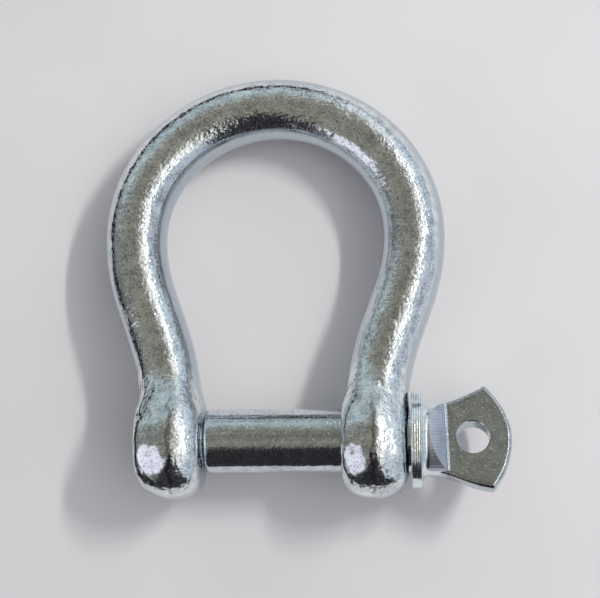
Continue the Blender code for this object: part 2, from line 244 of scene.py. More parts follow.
def bow_path():
    """Centreline from the left ear's toe over the crown to the right ear's toe."""
    foot = Vector((EAR_OFFSET, 0.0, 0.0))
    widest = Vector((LIMB_OFFSET, WIDEST_HEIGHT, 0.0))
    crown = Vector((0.0, CROWN_HEIGHT, 0.0))
    up = Vector((0.0, 1.0, 0.0))
    ear = [foot - up * EAR_RADIUS * math.cos(math.pi / 2 * i / EAR_RINGS) for i in range(1, EAR_RINGS)]
    foot_handle = foot + up * FOOT_PULL * WIDEST_HEIGHT
    widest_handle = widest - up * WIDEST_PULL * WIDEST_HEIGHT
    limb = interpolate_bezier(foot, foot_handle, widest_handle, widest, LIMB_RINGS)
    rise = up * (CROWN_HEIGHT - WIDEST_HEIGHT) * ROUND_PULL
    reach = Vector((LIMB_OFFSET * ROUND_PULL, 0.0, 0.0))
    over = interpolate_bezier(widest, widest + rise, crown + reach, crown, CROWN_RINGS)
    right = ear + limb + over[1:]
    left = [Vector((-p.x, p.y, 0.0)) for p in right[:-1]]
    return left + right[::-1]


def section(middle, along):
    """One ring of the bow: round in the bar, squarer and wider in the ear."""
    height = middle.y
    bar_share = min(1.0, max(0.0, height) / (EAR_TO_BAR * EAR_RADIUS))
    wide = ear_half_width(height)
    thick = ear_half_thickness(height)
    if height > 0:
        wide = soft_max(wide, BAR_RADIUS, EAR_BLEND)
        thick = soft_max(thick, BAR_RADIUS, EAR_HALF - BAR_RADIUS)
    power = EAR_ROUNDNESS + (2 - EAR_ROUNDNESS) * bar_share
    side = Vector((along.y, -along.x, 0.0))
    ring = []
    for i in range(BAR_SIDES):
        angle = 2 * math.pi * i / BAR_SIDES
        across = math.cos(angle)
        upward = math.sin(angle)
        reach = (abs(across / thick) ** power + abs(upward / wide) ** power) ** (-1 / power)
        ring.append(middle + side * reach * across + Vector((0.0, 0.0, reach * upward)))
    return ring


def crease_depth(point):
    """How deep the trimmed-flash creases are at a place on the upper side of an ear."""
    if point.z < CREASE_LOWEST or point.y > CREASE_END:
        return 0.0
    wobble = CREASE_WOBBLE * noise.noise(point * CREASE_WOBBLE_SCALE)
    here = Vector((point.x + wobble, point.y - wobble))
    nearest = math.inf
    for line in CREASES:
        for a, b in zip(line, line[1:]):
            start = Vector(a)
            run = Vector(b) - start
            share = min(1.0, max(0.0, (here - start).dot(run) / run.length_squared))
            nearest = min(nearest, (here - start - run * share).length)
    return CREASE_DEPTH * math.exp(-(nearest / CREASE_WIDTH) ** 2)


def draft_depth(point, across):
    """How far the plain ear stands over the two drafted flats that meet in its ridge."""
    strength = smoothstep(*DRAFT_FADE, point.y)
    rounding = RIDGE_ROUNDING + TOE_ROUNDING * smoothstep(*TOE_FADE, point.y)
    aside = math.hypot(across, rounding) - rounding
    if point.y < EAR_RADIUS * math.sin(EAR_SLOPE):
        over = math.hypot(point.y, point.z) - EAR_RADIUS
    else:
        over = point.y * math.sin(EAR_SLOPE) + abs(point.z) * math.cos(EAR_SLOPE) - EAR_RADIUS
    excess = over * math.cos(DRAFT) + aside * math.sin(DRAFT) - DRAFT_LIFT
    return strength * soft_max(0.0, excess, DRAFT_BLEND)


def forged_depth(point):
    """How far the forged skin lies under the plain form: waves, dents, ridges, flats and creases."""
    near_ear = smoothstep(*EAR_FADE, point.y)
    wave = 0.5 + 0.5 * noise.noise(point * WAVE_SCALE)
    dents = max(0.0, noise.noise(point * DENT_SCALE + DENT_SHIFT))
    grain = 0.5 + 0.5 * noise.noise(point * GRAIN_SCALE)
    chatter = 0.5 + 0.5 * noise.noise(point * CHATTER_SCALE + CHATTER_SHIFT)
    depth = SKIN + WAVE_DEPTH * wave + (DENT_DEPTH + EAR_DENT_DEPTH * near_ear) * dents
    depth += (GRAIN_DEPTH + EAR_GRAIN_DEPTH * near_ear) * grain + CHATTER_DEPTH * near_ear * chatter
    ridge = RIDGES[0] if point.x < 0 else RIDGES[1]
    wander = Vector((0.0, point.y * RIDGE_WANDER_SCALE[0], point.z * RIDGE_WANDER_SCALE[1]))
    across = point.x - ridge + RIDGE_WANDER * noise.noise(wander)
    groove = smoothstep(*GROOVE_FADE, point.y) * (GROOVE_DEPTH + GROOVE_CHATTER * chatter)
    groove *= math.exp(-(across / GROOVE_WIDTH) ** 2)
    return depth + groove + draft_depth(point, across) + crease_depth(point)


def forged_bow():
    path = bow_path()
    bm = bmesh.new()
    rings = []
    for i, middle in enumerate(path):
        along = (path[min(i + 1, len(path) - 1)] - path[max(i - 1, 0)]).normalized()
        rings.append([bm.verts.new(point) for point in section(middle, along)])
    toes = [bm.verts.new((x, -EAR_RADIUS, 0.0)) for x in (-EAR_OFFSET, EAR_OFFSET)]
    for i in range(BAR_SIDES):
        j = (i + 1) % BAR_SIDES
        bm.faces.new((toes[0], rings[0][i], rings[0][j]))
        bm.faces.new((toes[1], rings[-1][j], rings[-1][i]))
        for low, high in zip(rings, rings[1:]):
            bm.faces.new((low[i], high[i], high[j], low[j]))
    bmesh.ops.recalc_face_normals(bm, faces=bm.faces)
    bm.normal_update()
    moves = [(vert, vert.normal * forged_depth(vert.co)) for vert in bm.verts]
    for vert, move in moves:
        vert.co -= move
    for vert in bm.verts:
        if vert.co.y < JAW_TOP:
            vert.co.x = math.copysign(soft_max(abs(vert.co.x), JAW_FACE, JAW_RIM), vert.co.x)
    bow = new_object("bow_forging", mesh_from(bm, "bow_forging"))
    bow = combine(bow, "DIFFERENCE", pin_hole())
    return combine(bow, "DIFFERENCE", tapped_hole())


# Turned forms

def turned(name, profile):
    """A closed solid turned about X from (x, radius) points, from its +X end to its -X end."""
    bm = bmesh.new()
    first = bm.verts.new((profile[0][0], 0.0, 0.0))
    last = bm.verts.new((profile[-1][0], 0.0, 0.0))
    rings = []
    for x, radius in profile:
        ring = []
        for i in range(PIN_SIDES):
            angle = 2 * math.pi * i / PIN_SIDES
            ring.append(bm.verts.new((x, radius * math.cos(angle), radius * math.sin(angle))))
        rings.append(ring)
    for i in range(PIN_SIDES):
        j = (i + 1) % PIN_SIDES
        bm.faces.new((first, rings[0][i], rings[0][j]))
        bm.faces.new((last, rings[-1][j], rings[-1][i]))
        for right, left in zip(rings, rings[1:]):
            bm.faces.new((right[i], left[i], left[j], right[j]))
    return new_object(name, mesh_from(bm, name))


def arc(x, radius, size, start, stop):
    """Points of a round edge about (x, radius), from one angle in degrees to another."""
    points = []
    for i in range(ARC_STEPS + 1):
        angle = math.radians(start + (stop - start) * i / ARC_STEPS)
        points.append((x + size * math.cos(angle), radius + size * math.sin(angle)))
    return points


def stations(start, stop, step):
    count = max(2, round(abs(stop - start) / step))
    return [start + (stop - start) * i / count for i in range(count + 1)]


def wind_thread(obj, start, stop, crest, root):
    """Move the points of a turned stretch in or out so that they follow the thread."""
    for vertex in obj.data.vertices:
        x, y, z = vertex.co
        radius = math.hypot(y, z)
        if start < x < stop and radius > crest / 2:
            wave = math.cos(2 * math.pi * x / THREAD_PITCH - math.atan2(z, y))
            share = min(1.0, max(0.0, 0.5 + FLANK_STEEPNESS * wave))
            wound = root + (crest - root) * share
            vertex.co = (x, y * wound / radius, z * wound / radius)


def pin_hole():
    """Cutter of the plain hole in the right ear, its broken edges and the collar's spot face."""
    wide = HOLE_RADIUS + HOLE_EDGE
    profile = [(EAR_OUTSIDE + CUT_BEYOND, SEAT_RADIUS), (SPOT_FACE, SEAT_RADIUS)]
    profile += [(SPOT_FACE, wide), (SPOT_FACE - HOLE_EDGE, HOLE_RADIUS)]
    profile += [(JAW_FACE + HOLE_EDGE, HOLE_RADIUS), (JAW_FACE, wide), (0.0, wide)]
    return turned("pin_hole", profile)


def tapped_hole():
    """Cutter of the thread in the left ear, with a countersink at each end."""
    crest = THREAD_CREST + THREAD_CLEARANCE
    root = crest + THREAD_DEPTH
    step = THREAD_PITCH / THREAD_RINGS_PER_TURN
    profile = [(-JAW_FACE + CUT_BEYOND, root), (-JAW_FACE, root)]
    profile += [(x, crest) for x in stations(-JAW_FACE - TAP_MOUTH, -EAR_OUTSIDE + TAP_MOUTH, step)]
    profile += [(-EAR_OUTSIDE + TAP_LIP, root), (-EAR_OUTSIDE - CUT_BEYOND, root)]
    cutter = turned("tapped_hole", profile)
    wind_thread(cutter, -EAR_OUTSIDE + TAP_RUNOUT, -JAW_FACE - TAP_RUNOUT, crest, root)
    return cutter


# The pin

def pin_profile():
    root = THREAD_CREST - THREAD_DEPTH
    step = THREAD_PITCH / THREAD_RINGS_PER_TURN
    rim = COLLAR_RADIUS - COLLAR_EDGE
    shank_start = COLLAR_FACE - SHANK_MARGIN
    shank_stop = SHOULDER + SHOULDER_ROUNDING + SHANK_MARGIN
    shoulder_middle = (SHOULDER + SHOULDER_ROUNDING, PIN_RADIUS - SHOULDER_ROUNDING)
    points = [(EYE_PLACE, NECK_RADIUS)]
    points += arc(COLLAR_BACK + NECK_FILLET, NECK_RADIUS + NECK_FILLET, NECK_FILLET, 270, 180)
    points += arc(COLLAR_BACK - COLLAR_EDGE, rim, COLLAR_EDGE, 0, 90)
    points += arc(COLLAR_FACE + COLLAR_EDGE, rim, COLLAR_EDGE, 90, 180)
    points += [(COLLAR_FACE, PIN_RADIUS)]
    points += [(x, PIN_RADIUS) for x in stations(shank_start, shank_stop, SHANK_STEP)]
    points += arc(*shoulder_middle, SHOULDER_ROUNDING, 90, 180)
    points += [(x, root) for x in stations(SHOULDER, TIP + TIP_CHAMFER, step)]
    points += [(TIP, THREAD_CREST - TIP_CHAMFER)]
    return points


def fan_outline():
    """Knots of the fan, against the clock from its lower root: (place, handle before, handle after)."""
    root_x = COLLAR_BACK + NECK_FILLET
    root_y = NECK_RADIUS - WING_ROOT_INSET
    corner_x = WING_END - WING_CORNER_INSET
    upper_x = corner_x - UPPER_INSET
    corner_y = WING_WIDTH / 2
    half_run = (corner_x - RAMP_FOOT) / 2
    flare = corner_y - root_y
    lean = Matrix.Rotation(WING_SKEW, 3, "Z")
    pivot = Vector((RAMP_FOOT, 0.0, 0.0))

    def leant(x, y):
        return pivot + lean @ (Vector((x, y, 0.0)) - pivot)

    arc_radius = (corner_y ** 2 + WING_CORNER_INSET ** 2) / (2 * WING_CORNER_INSET)
    half_angle = math.asin(corner_y / arc_radius)
    pull = 4 / 3 * math.tan(half_angle / 4) * arc_radius
    pull_x = pull * math.sin(half_angle)
    pull_y = pull * math.cos(half_angle)
    upper_root = Vector((root_x, root_y, 0.0))
    lower_root = Vector((root_x, -root_y, 0.0))
    straight = Vector((RAMP_FOOT - root_x, 0.0, 0.0))
    lower_side = leant(corner_x - half_run, -corner_y + LOWER_CURL * flare)
    upper_side = leant(corner_x - half_run, corner_y - UPPER_CURL * flare)
    return [
        (lower_root, lower_root, lower_root + straight),
        (leant(corner_x, -corner_y), lower_side, leant(corner_x + pull_x, -corner_y + pull_y)),
        (leant(WING_END, 0.0), leant(WING_END, -pull), leant(WING_END, pull)),
        (leant(upper_x, corner_y), leant(upper_x + pull_x, corner_y - pull_y), upper_side),
        (upper_root, upper_root + straight, upper_root),
    ]


def fan():
    """The wing before its eye: a flat fan with round edges."""
    curve = bpy.data.curves.new("fan", "CURVE")
    curve.dimensions = "2D"
    curve.fill_mode = "BOTH"
    curve.extrude = WING_THICKNESS / 2 - WING_EDGE
    curve.bevel_depth = WING_EDGE
    curve.bevel_resolution = FAN_EDGE_STEPS
    curve.offset = -WING_EDGE
    curve.resolution_u = FAN_STEPS
    spline = curve.splines.new("BEZIER")
    spline.use_cyclic_u = True
    knots = fan_outline()
    spline.bezier_points.add(len(knots) - 1)
    for point, (middle, before, after) in zip(spline.bezier_points, knots):
        point.handle_left_type = "FREE"
        point.handle_right_type = "FREE"
        point.co = middle
        point.handle_left = before
        point.handle_right = after
    piece = bake(new_object("fan", curve))
    merge_points(piece, FAN_MERGE_DISTANCE)
    return piece


def ramps():
    """What the dies leave of the neck: full height, then ramps down into the wing on both sides."""
    flat = WING_THICKNESS / 2
    tall = 2 * COLLAR_RADIUS
    over = NECK_FILLET / 2
    slope = RAMP_LENGTH / (NECK_RADIUS - flat)
    ramp_top = RAMP_FOOT - slope * (NECK_RADIUS + over - flat)
    lower = [(TIP - CUT_BEYOND, -tall), (ramp_top, -tall), (ramp_top, -NECK_RADIUS - over)]
    upper = [(x, -z) for x, z in reversed(lower)]
    ridge = (RAMP_FOOT - slope * DIE_RIDGE, -flat - DIE_RIDGE)
    fall = (RAMP_FOOT + DIE_RIDGE_RUN, -flat + DIE_RIDGE / 4)
    outline = lower + [ridge, fall, (fall[0], -fall[1]), (ridge[0], -ridge[1])] + upper
    bm = bmesh.new()
    sheet = bm.faces.new([bm.verts.new((x, -tall, z)) for x, z in outline])
    swept = bmesh.ops.extrude_face_region(bm, geom=[sheet])["geom"]
    moved = [item for item in swept if isinstance(item, bmesh.types.BMVert)]
    bmesh.ops.translate(bm, verts=moved, vec=(0.0, 2 * tall, 0.0))
    pivot = Matrix.Translation((RAMP_FOOT, 0.0, 0.0))
    skew = pivot @ Matrix.Rotation(WING_SKEW, 4, "Z") @ pivot.inverted()
    bmesh.ops.transform(bm, matrix=skew, verts=bm.verts)
    return new_object("ramps", mesh_from(bm, "ramps"))


def eye():
    """Cutter of the eye, with the edges that the punch rounded."""
    flat = WING_THICKNESS / 2
    wide = EYE_RADIUS + EYE_EDGE
    half = [(flat + EYE_CUT_BEYOND, wide), (flat, wide), (flat - EYE_EDGE, EYE_RADIUS)]
    profile = half + [(-x, radius) for x, radius in reversed(half)]
    cutter = turned("eye", profile)
    upright = Matrix.Rotation(-math.pi / 2, 4, "Y")
    cutter.data.transform(Matrix.Translation((EYE_PLACE, 0.0, 0.0)) @ upright)
    return cutter


def screw_pin():
    pin = turned("screw_pin", pin_profile())
    thread_start = TIP + TIP_CHAMFER / 2
    thread_stop = SHOULDER - THREAD_UNDERCUT
    wind_thread(pin, thread_start, thread_stop, THREAD_CREST, THREAD_CREST - THREAD_DEPTH)
    pin = combine(pin, "INTERSECT", ramps())
    pin = combine(pin, "UNION", fan())
    return combine(pin, "DIFFERENCE", eye())


def place(piece, turn, sharp):
    """Bring a piece from millimetres about the pin's axis to its place in the frame, and shade it."""
    merge_points(piece, MERGE_DISTANCE)
    move = Matrix.Translation(PIN_AXIS * MM)
    piece.data.transform(move @ Matrix.Rotation(-turn, 4, "X") @ Matrix.Scale(MM, 4))
    piece.data.shade_smooth()
    piece.data.set_sharp_from_angle(angle=math.radians(sharp))
    modifier = piece.modifiers.new("normals", "WEIGHTED_NORMAL")
    modifier.keep_sharp = True
    return bake(piece)


# Materials: scales are per millimetre, ranges are of a place in millimetres or of a noise

NOISE_MIDDLE = (0.3, 0.7)  # where most values of a noise lie

# Scale, detail and roughness of the noises that both zinc surfaces share
DRIFT_NOISE = (0.14, 3.0, 0.55)
MOTTLE_NOISE = (0.6, 1.5, 0.5)
FINE_NOISE = (1.5, 1.5, 0.5)
SPECK_NOISE = (3.0, 2.0, 0.6)
SPECK_RANGE = (0.38, 0.64)
DRIFT_SHARE = 0.25
MOTTLE_SHARE = 0.30
SPECK_SHARE = 0.45
TONE_STOPS = (0.38, 0.50, 0.62)  # of the dark, the pale and the brightest tone
BRIGHTEST = 1.2  # times the pale tone

FORGED_PALE = (0.78, 0.845, 0.885)
FORGED_DARK = (0.46, 0.505, 0.535)
FORGED_ROUGHNESS = (0.06, 0.26)
TOP_RISE = (3.9, 5.0)  # heights over the bar's middle between which its sides turn into its top
SIDE_GRAIN = 0.08  # grain left on the sides
# Painted shade: below these heights over the bar's middle the colour turns darker, standing in for the
# shadowed paper that the sides mirror
SIDE_RISE = (2.8, 4.3)
SIDE_SHADE_COLOUR = (0.50, 0.565, 0.62, 1.0)
SIDE_SHADE_STRENGTH = 0.8
PIT_NOISE = (2.1, 0.0)  # scale and detail, as in the next ones
PIT_RANGE = (0.64, 0.74)
PIT_STRENGTH = 0.5
PIT_COLOUR = (0.25, 0.275, 0.29, 1.0)
EAR_END = (-24.0, -19.0)  # the frame's Y at which the ears turn into limbs
# Painted shade along each ear's ridge: a dark line of colour for the shade in the groove there
SEAM_NOISE = (0.5, 2.0)
SEAM_WAVER = (-0.5, 0.5)
SEAM_WIDTH = (0.1, 0.55)
SEAM_SHADE_STRENGTH = 0.65
SEAM_SHADE_COLOUR = (0.20, 0.215, 0.22, 1.0)
STRUCK_SIDE = (-0.9, 0.3)  # across the ridge, from the smoother flat to the rougher one
STRUCK_GRAIN = (0.024, 0.085)
PATCH_NOISE = (0.22, 1.0)
PATCH_RANGE = (0.35, 0.65)
PATCH_GRAIN = (0.075, 0.135)

ROLLED_PALE = (0.50, 0.55, 0.58)
ROLLED_DARK = (0.36, 0.40, 0.425)
ROLLED_ROUGHNESS = (0.07, 0.18)
ROLLED_GRAIN = 0.030
NICK_NOISE = (2.4, 0.0)
NICK_RANGE = (0.68, 0.74)
NICK_STRENGTH = 0.8
NICK_COLOUR = (0.92, 0.95, 0.98, 1.0)
DRAWN_START = (-0.5, 0.3)  # about the ramps' tops
DRAWN_STOP = (-0.3, -0.1)  # about the ramps' feet
DRAWN_SIDES = (5.2, 6.1)
DRAWN_COLOUR = (0.80, 0.86, 0.97, 1.0)
DRAWN_ROUGHNESS = 0.30
RIB_RATE = 11.0  # radians per millimetre
RIB_HEIGHT = 0.012
# Painted sheen: the turned shank, and more so the collar and the neck, get a brighter colour than the
# wing, standing in for the brighter reflections they show
TURNED_SHEEN_GAIN = 0.28  # how much brighter the shank is than the wing
HEAD_START = (-0.3, -0.1)  # about the collar's face
HEAD_SHEEN_GAIN = 1.3  # on the collar and the neck, this many times that comes on top
LATHE_PITCH = 0.42  # grooves round the collar's rim
LATHE_HEIGHT = 0.022
LATHE_EDGE = 0.1

PAPER_TONES = ((0.3, (0.79, 0.775, 0.785)), (0.7, (0.84, 0.83, 0.83)))
PAPER_DRIFT_NOISE = (0.02, 2.0, 0.5)
PAPER_TOOTH_NOISE = (2.2, 3.0, 0.6)
PAPER_TOOTH = 0.03
PAPER_BUMP = 0.5
PAPER_ROUGHNESS = 0.85
PAPER_SPECULAR = 0.2


def around(middle, offsets):
    return tuple(middle + offset for offset in offsets)


class Nodes:
    """A short way to add and link shader nodes."""

    def __init__(self, tree):
        self.tree = tree
        tree.nodes.clear()

    def add(self, kind, settings=None, **inputs):
        node = self.tree.nodes.new("ShaderNode" + kind)
        for key, value in (settings or {}).items():
            setattr(node, key, value)
        for key, value in inputs.items():
            self.put(node, key.replace("_", " "), value)
        return node

    def put(self, node, key, value):
        socket = node.inputs[int(key)] if key.isdigit() else node.inputs[key]
        if isinstance(value, bpy.types.NodeSocket):
            self.tree.links.new(value, socket)
        else:
            socket.default_value = value

    def ramp(self, factor, stops):
        node = self.add("ValToRGB", Fac=factor)
        elements = node.color_ramp.elements
        while len(elements) < len(stops):
            elements.new(1.0)
        for element, (position, colour) in zip(elements, stops):
            element.position = position
            element.color = (*colour, 1.0)
        return node.outputs["Color"]

    def remap(self, value, source, target, kind="LINEAR"):
        """Bring a value from one range to another, and hold it there outside."""
        node = self.add("MapRange", {"interpolation_type": kind})
        for key, number in zip(("From Min", "From Max", "To Min", "To Max"), (*source, *target)):
            node.inputs[key].default_value = number
        self.put(node, "Value", value)
        return node.outputs["Result"]

    def fade(self, value, source, start=0.0, stop=1.0):
        """The same with a soft start and end."""
        return self.remap(value, source, (start, stop), "SMOOTHSTEP")

    def math(self, operation, a, b=0.0):
        node = self.add("Math", {"operation": operation})
        self.put(node, "0", a)
        self.put(node, "1", b)
        return node.outputs[0]

    def plus(self, a, b):
        return self.math("ADD", a, b)

    def minus(self, a, b):
        return self.math("SUBTRACT", a, b)

    def times(self, a, b):
        return self.math("MULTIPLY", a, b)

    def size(self, value):
        return self.math("ABSOLUTE", value)

    def grey(self, value):
        return self.add("CombineColor", Red=value, Green=value, Blue=value).outputs[0]

    def mix(self, factor, a, b, blend="MIX"):
        node = self.add("Mix", {"data_type": "RGBA", "blend_type": blend})
        self.put(node, "0", factor)
        self.put(node, "6", a)
        self.put(node, "7", b)
        return node.outputs[2]

    def mix_value(self, factor, a, b):
        return self.add("Mix", {"data_type": "FLOAT"}, Factor=factor, A=a, B=b).outputs[0]

    def noise(self, vector, scale, detail, roughness=0.5):
        node = self.add("TexNoise", Vector=vector, Scale=scale, Detail=detail, Roughness=roughness)
        return node.outputs[0]

    def millimetres(self):
        """Places on the object, in millimetres."""
        coordinates = self.add("TexCoord").outputs["Object"]
        scale = (1 / MM, 1 / MM, 1 / MM)
        return self.add("Mapping", Vector=coordinates, Scale=scale).outputs["Vector"]

    def axes(self, vector):
        return self.add("SeparateXYZ", Vector=vector).outputs


def new_material(name):
    material = bpy.data.materials.new(name)
    material.use_nodes = True
    return material, Nodes(material.node_tree)


def finish_shader(nodes, shader):
    output = nodes.add("OutputMaterial")
    nodes.tree.links.new(shader.outputs[0], output.inputs["Surface"])


def zinc_base(name, pale, dark, roughness):
    """What both zinc surfaces share: speckled colour, uneven shine and the noises of the relief."""
    material, nodes = new_material(name)
    mapping = nodes.millimetres()
    drift = nodes.noise(mapping, *DRIFT_NOISE)
    mottle = nodes.noise(mapping, *MOTTLE_NOISE)
    fine = nodes.noise(mapping, *FINE_NOISE)
    specks = nodes.noise(mapping, *SPECK_NOISE)
    tone = nodes.plus(nodes.times(drift, DRIFT_SHARE), nodes.times(mottle, MOTTLE_SHARE))
    tone = nodes.plus(tone, nodes.times(specks, SPECK_SHARE))
    bright = tuple(min(1.0, c * BRIGHTEST) for c in pale)
    colour = nodes.ramp(tone, tuple(zip(TONE_STOPS, (dark, pale, bright))))
    shine = nodes.remap(specks, SPECK_RANGE, roughness)
    relief = nodes.plus(mottle, fine)
    return material, nodes, mapping, colour, shine, relief


def zinc_shader(nodes, colour, shine, relief):
    bump = nodes.add("Bump", Height=relief, Strength=1.0, Distance=MM).outputs[0]
    shader = nodes.add("BsdfPrincipled", Base_Color=colour, Metallic=1.0, Roughness=shine, Normal=bump)
    finish_shader(nodes, shader)


def forged_zinc():
    """Zinc on the forging: grained and pitted on top, smoother on the sides and the ears' flats, with
    painted shade on the sides and along the ears' ridges.
    """
    material, nodes, mapping, colour, shine, relief = zinc_base(
        "forged_zinc", FORGED_PALE, FORGED_DARK, FORGED_ROUGHNESS,
    )
    x, y, z = nodes.axes(mapping)
    bow_run = (PIN_AXIS.y, PIN_AXIS.y + CROWN_HEIGHT)
    middle = nodes.remap(y, bow_run, (PIN_AXIS.z, BAR_RADIUS))
    rise = nodes.size(nodes.minus(z, middle))
    on_top = nodes.fade(rise, TOP_RISE, SIDE_GRAIN, 1.0)
    # Painted shade: the sides are given a darker colour
    colour = nodes.mix(nodes.fade(rise, SIDE_RISE, SIDE_SHADE_STRENGTH, 0.0), colour, SIDE_SHADE_COLOUR)
    pits = nodes.fade(nodes.noise(mapping, *PIT_NOISE), PIT_RANGE, 0.0, PIT_STRENGTH)
    colour = nodes.mix(nodes.times(pits, on_top), colour, PIT_COLOUR)

    # Both ears as one: the left one is brought over the right one, so that their ridges coincide.
    at_left = nodes.times(nodes.math("LESS_THAN", x, PIN_AXIS.x), RIDGES[1] - RIDGES[0])
    ear_x = nodes.minus(nodes.plus(x, at_left), PIN_AXIS.x + RIDGES[1])
    ear = nodes.fade(y, EAR_END, 1.0, 0.0)
    # Painted shade: the colour is darkened along the ridge's groove
    waver = nodes.remap(nodes.noise(mapping, *SEAM_NOISE), NOISE_MIDDLE, SEAM_WAVER)
    from_seam = nodes.size(nodes.plus(ear_x, waver))
    seam_shade = nodes.times(nodes.fade(from_seam, SEAM_WIDTH, SEAM_SHADE_STRENGTH, 0.0), ear)
    colour = nodes.mix(nodes.times(seam_shade, on_top), colour, SEAM_SHADE_COLOUR)

    struck = nodes.fade(ear_x, STRUCK_SIDE, *STRUCK_GRAIN)
    patchy = nodes.fade(nodes.noise(mapping, *PATCH_NOISE), PATCH_RANGE, *PATCH_GRAIN)
    coarse = nodes.mix_value(ear, patchy, struck)
    relief = nodes.times(relief, nodes.times(coarse, on_top))
    zinc_shader(nodes, colour, shine, relief)
    return material


def rolled_zinc():
    """Zinc on the pin: smooth and darkest on the wing, turned on the collar, ribbed on the ramps, with
    painted sheen brightening the shank, the collar and the neck.
    """
    material, nodes, mapping, colour, shine, relief = zinc_base(
        "rolled_zinc", ROLLED_PALE, ROLLED_DARK, ROLLED_ROUGHNESS,
    )
    x, y, _ = nodes.axes(mapping)
    foot = PIN_AXIS.x + RAMP_FOOT
    face = PIN_AXIS.x + COLLAR_FACE
    back = PIN_AXIS.x + COLLAR_BACK
    before_foot = around(foot, DRAWN_STOP)
    drawn = nodes.times(
        nodes.fade(x, around(foot - RAMP_LENGTH, DRAWN_START)),
        nodes.fade(x, before_foot, 1.0, 0.0),
    )
    from_axis = nodes.size(nodes.minus(y, PIN_AXIS.y))
    drawn = nodes.times(drawn, nodes.fade(from_axis, DRAWN_SIDES, 1.0, 0.0))

    nicks = nodes.fade(nodes.noise(mapping, *NICK_NOISE), NICK_RANGE, 0.0, NICK_STRENGTH)
    colour = nodes.mix(nicks, colour, NICK_COLOUR)
    # Painted sheen: the shank, the collar and the neck get a brighter colour
    turned_sheen = nodes.fade(x, before_foot, TURNED_SHEEN_GAIN, 0.0)
    head_sheen = nodes.times(turned_sheen, nodes.fade(x, around(face, HEAD_START), 0.0, HEAD_SHEEN_GAIN))
    sheen_gain = nodes.plus(nodes.plus(turned_sheen, head_sheen), 1.0)
    colour = nodes.mix(1.0, colour, nodes.grey(sheen_gain), "MULTIPLY")
    colour = nodes.mix(drawn, colour, DRAWN_COLOUR)
    shine = nodes.plus(shine, nodes.times(drawn, DRAWN_ROUGHNESS))

    relief = nodes.times(relief, ROLLED_GRAIN)
    ribs = nodes.math("SINE", nodes.times(y, RIB_RATE))
    relief = nodes.plus(relief, nodes.times(ribs, nodes.times(drawn, RIB_HEIGHT)))
    rim = nodes.times(
        nodes.fade(x, (face, face + LATHE_EDGE), 0.0, LATHE_HEIGHT),
        nodes.fade(x, (back - LATHE_EDGE, back), 1.0, 0.0),
    )
    grooves = nodes.math("SINE", nodes.times(x, 2 * math.pi / LATHE_PITCH))
    relief = nodes.plus(relief, nodes.times(grooves, rim))
    zinc_shader(nodes, colour, shine, relief)
    return material


def paper():
    """White office paper with a faint tooth and a slow drift of tone."""
    material, nodes = new_material("paper")
    mapping = nodes.millimetres()
    drift = nodes.noise(mapping, *PAPER_DRIFT_NOISE)
    tooth = nodes.noise(mapping, *PAPER_TOOTH_NOISE)
    colour = nodes.ramp(drift, PAPER_TONES)
    bump = nodes.add("Bump", Height=tooth, Strength=PAPER_BUMP, Distance=PAPER_TOOTH * MM).outputs[0]
    shader = nodes.add("BsdfPrincipled", Base_Color=colour, Roughness=PAPER_ROUGHNESS, Normal=bump)
    shader.inputs["Specular IOR Level"].default_value = PAPER_SPECULAR
    finish_shader(nodes, shader)
    return material


# Stage, light and camera: lengths in metres; X, Y and Z of a direction go to the right, back and up

SHEET_MIDDLE = (0.018, -0.010)
SHEET_CORE = 0.001  # one face inside this radius
SHEET_RADIUS = 0.095
FLOOR_RADIUS = 3.0
DISC_SIDES = 96

# What the metal mirrors, from straight down (0) over the horizon (0.5) to straight up (1)
BRIGHT_SIDE = (
    (0.500, (0.014, 0.013, 0.015)),
    (0.522, (0.34, 0.375, 0.39)),
    (0.62, (0.42, 0.47, 0.49)),
    (0.72, (0.48, 0.565, 0.59)),
    (0.80, (0.35, 0.36, 0.34)),
    (0.90, (0.255, 0.240, 0.205)),
    (1.00, (0.255, 0.235, 0.195)),
)
DIM_SIDE = (
    (0.500, (0.014, 0.013, 0.015)),
    (0.522, (0.18, 0.185, 0.18)),
    (0.62, (0.20, 0.198, 0.185)),
    (0.88, (0.255, 0.240, 0.205)),
    (1.00, (0.260, 0.240, 0.200)),
)
BACK_REACH = (0.22, 0.50)  # from the dim sides to the bright back
LOW_RIGHT_SLOPE = 0.6
LOW_RIGHT_REACH = (0.35, 0.70)
LOW_RIGHT_COLOUR = (0.50, 0.53, 0.59, 1.0)
CLUTTER_NOISE = (8.0, 3.0, 0.6)
CLUTTER_GAIN = (0.45, 1.55)
WINDOW_SLOPE = 0.80  # across over up, towards the long window at the right
GLOW_ABOVE = (-0.72, 0.0)
GLOW_BELOW = (0.0, 0.80)
GLOW_SIDE = (0.1, 0.4)
GLOW_TINT_REACH = (0.0, 0.4)
GLOW_WARM = (1.0, 0.97, 0.92, 1.0)
GLOW_COOL = (0.74, 0.86, 1.0, 1.0)
FRONT_REACH = (0.17, 0.40)
FRONT_COLOUR = (0.032, 0.028, 0.032, 1.0)
PANE_ACROSS = (0.54, 0.84)  # shares of X and Y in how far a direction lies beside the front window
PANE_HALF = (0.26, 0.30)
PANE_BOTTOM = (0.10, 0.14)
PANE_TOP = (0.60, 0.66)
PANE_LEFT_OF = (-0.25, -0.30)
PANE_COLOUR = (0.92, 0.88, 0.98, 1.0)
BACKDROP = (0.68, 0.67, 0.68, 1.0)  # what the camera sees past the floor

